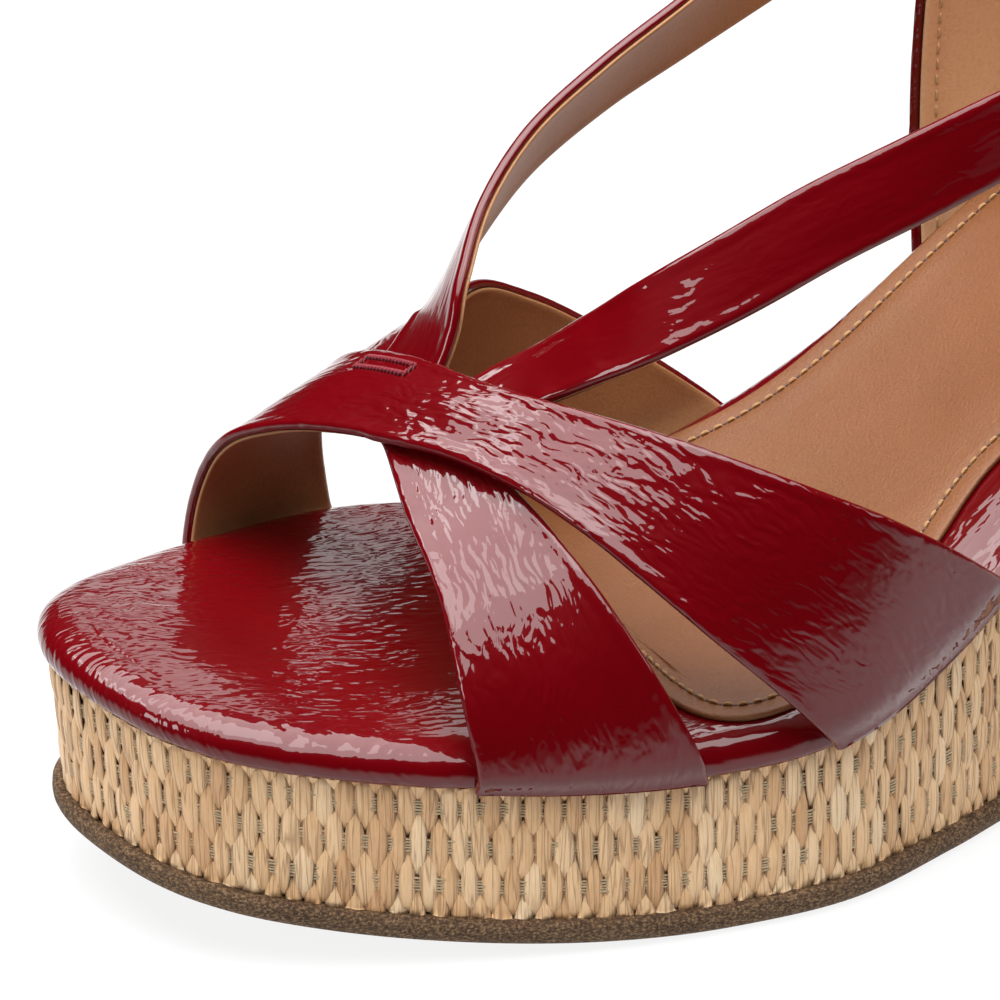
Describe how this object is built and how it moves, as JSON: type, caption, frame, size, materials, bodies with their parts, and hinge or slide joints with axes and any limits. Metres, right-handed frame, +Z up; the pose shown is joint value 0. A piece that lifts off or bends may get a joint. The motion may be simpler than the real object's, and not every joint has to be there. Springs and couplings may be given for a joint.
{
  "type": "wedge sandal",
  "caption": "Open-toe wedge sandal with crossing toe straps, two instep straps, a closed heel with a zip, a covered footbed and a woven wedge.",
  "frame": {"origin": "centre of the bounding box, on the floor that the sole stands on", "axes": "+Z up, -Y towards the toe, +Y towards the heel, +X towards the outer (lateral) side of this left shoe"},
  "size_m": [0.0883, 0.2466, 0.127],
  "materials": {
    "sole_rubber": "matte, speckled",
    "cork": "pressed cork",
    "raffia": "woven raffia",
    "fibre_board": "pressed fibre",
    "steel": "rolled",
    "foam": "open-cell foam",
    "soft_foam": "latex foam",
    "red_patent": "crinkled patent, high gloss",
    "tan_leather": "fine grain, satin",
    "tan_thread": "twisted thread",
    "red_thread": "twisted thread",
    "stiffener": "thermoplastic sheet",
    "zip_tape": "woven tape",
    "zip_metal": "polished"
  },
  "bodies": {
    "shoe": {"outsole": "sole_rubber", "wedge_core": "cork", "raffia_band": "raffia", "insole_board": "fibre_board", "shank": "steel", "footbed_foam": "foam", "heel_cushion": "soft_foam", "footbed_cover": "red_patent", "sock_lining": "tan_leather", "sock_stitching": "tan_thread", "strap_a_outer": "red_patent", "strap_a_lining": "tan_leather", "strap_b_outer": "red_patent", "strap_b_lining": "tan_leather", "strap_c_outer": "red_patent", "strap_c_lining": "tan_leather", "strap_d_outer": "red_patent", "strap_d_lining": "tan_leather", "bar_tack": "red_thread", "quarter_lateral_outer": "red_patent", "quarter_medial_outer": "red_patent", "counter_stiffener_lateral": "stiffener", "counter_stiffener_medial": "stiffener", "quarter_lateral_lining": "tan_leather", "quarter_medial_lining": "tan_leather", "quarter_stitching": "red_thread", "zip_tape_lateral": "zip_tape", "zip_tape_medial": "zip_tape", "zip_teeth_lateral": "zip_metal", "zip_teeth_medial": "zip_metal", "zip_top_stops": "zip_metal", "zip_bottom_stop": "zip_metal", "zip_guard": "tan_leather"},
    "slider": {"zip_slider": "zip_metal"},
    "pull": {"zip_pull": "zip_metal"}
  },
  "joints": [
    {"name": "zip_slide", "type": "slide", "parent": "shoe", "child": "slider", "axis": [0, 0, -1], "range_m": [0, 0.03]},
    {"name": "pull_hinge", "type": "hinge", "parent": "slider", "child": "pull", "pos_m": [-0.0053, 0.12202, 0.119], "axis": [1, 0, 0], "range_deg": [0, 170]}
  ]
}
